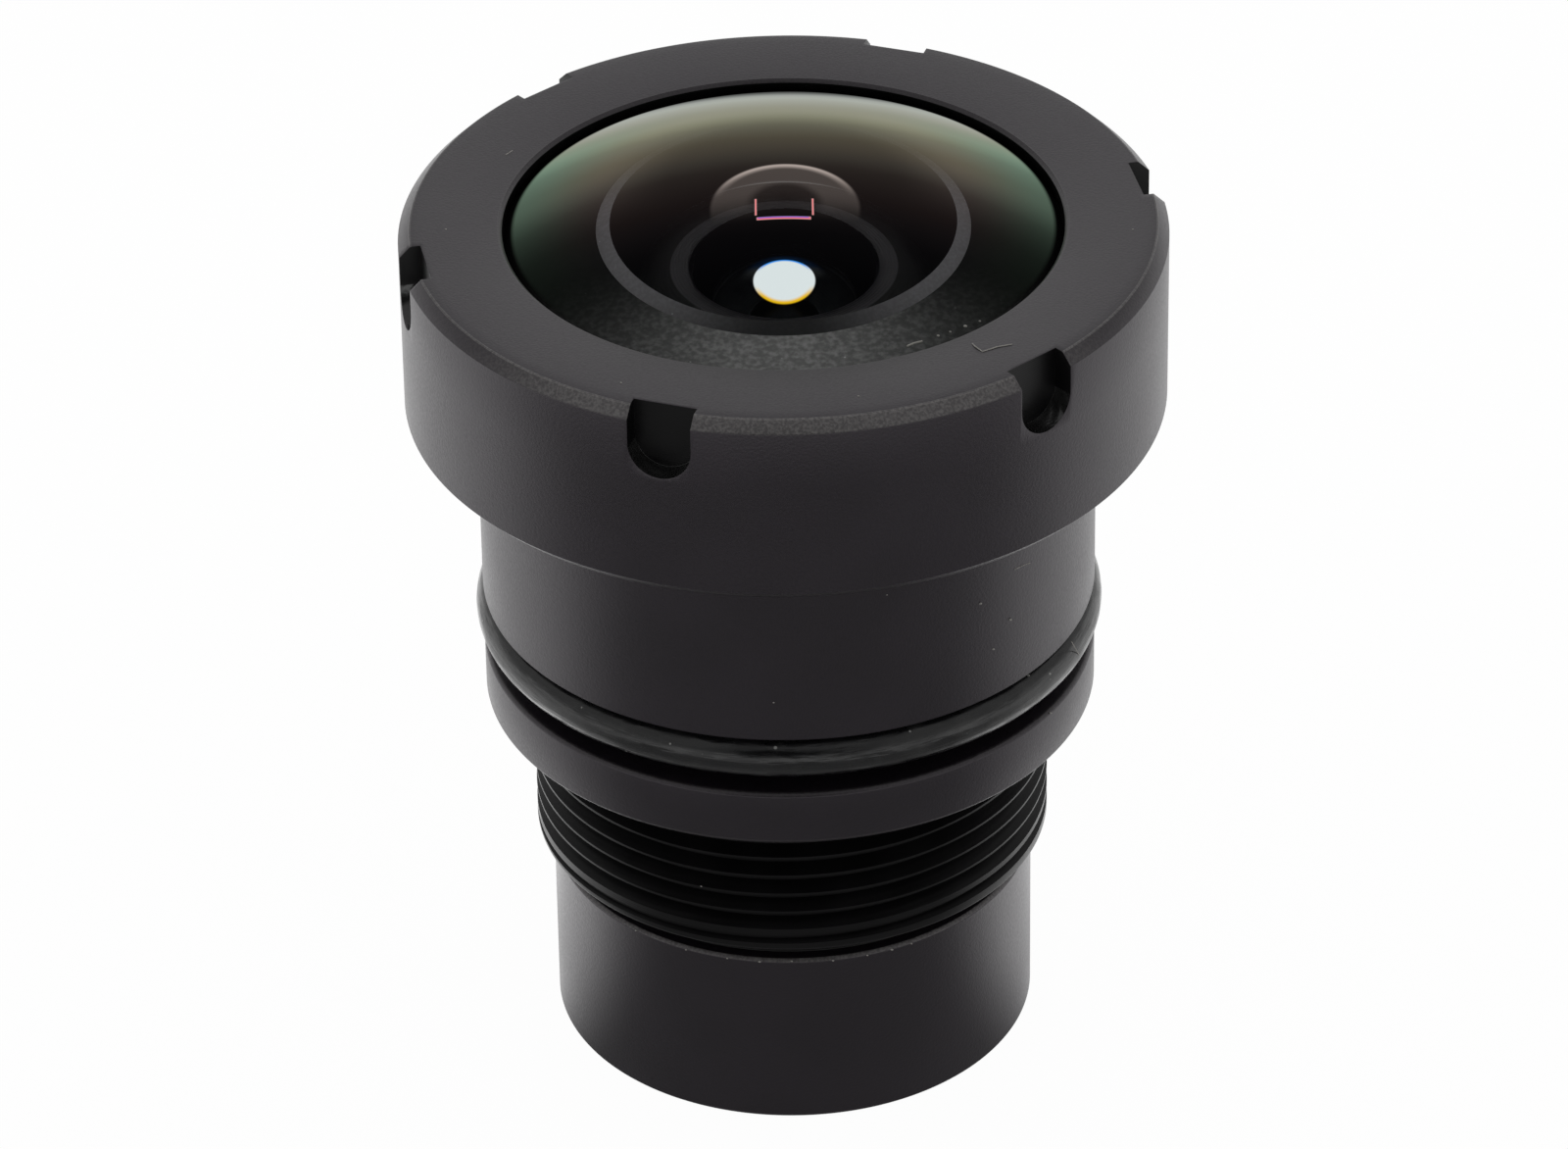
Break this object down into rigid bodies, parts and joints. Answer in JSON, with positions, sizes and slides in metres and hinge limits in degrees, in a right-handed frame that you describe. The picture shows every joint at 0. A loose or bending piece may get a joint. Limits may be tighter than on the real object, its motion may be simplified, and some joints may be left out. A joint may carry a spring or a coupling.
{
  "type": "m12 board camera lens",
  "caption": "Black anodised wide-angle M12 board camera lens: notched front ring over a domed front glass, O-ring groove, flange and fine thread.",
  "frame": {"origin": "centre of the barrel's foot, on the optical axis", "axes": "+Z along the optical axis from the foot to the front glass; one spanner notch of the front ring points along -Y"},
  "size_m": [0.0173, 0.0172, 0.0221],
  "materials": {
    "black_anodised": "fine bead-blasted, black anodised",
    "blackened_aluminium": "turned, black anodised",
    "black_foil": "matte black film",
    "seal_rubber": "smooth black nitrile",
    "coated_glass": "polished, antireflection coated, blackened edge",
    "filter_glass": "polished infrared-cut filter"
  },
  "bodies": {
    "root": {"lens_barrel": "black_anodised", "front_retaining_ring": "black_anodised", "front_element": "coated_glass", "front_seal": "seal_rubber", "front_spacer": "blackened_aluminium", "second_element": "coated_glass", "front_light_baffle": "black_foil", "second_spacer": "blackened_aluminium", "third_element": "coated_glass", "aperture_stop": "blackened_aluminium", "fourth_element": "coated_glass", "third_spacer": "blackened_aluminium", "fifth_element": "coated_glass", "sixth_element": "coated_glass", "rear_light_baffle": "black_foil", "fourth_spacer": "blackened_aluminium", "seventh_element": "coated_glass", "rear_retaining_ring": "blackened_aluminium", "infrared_filter": "filter_glass", "barrel_o_ring": "seal_rubber"}
  },
  "joints": []
}
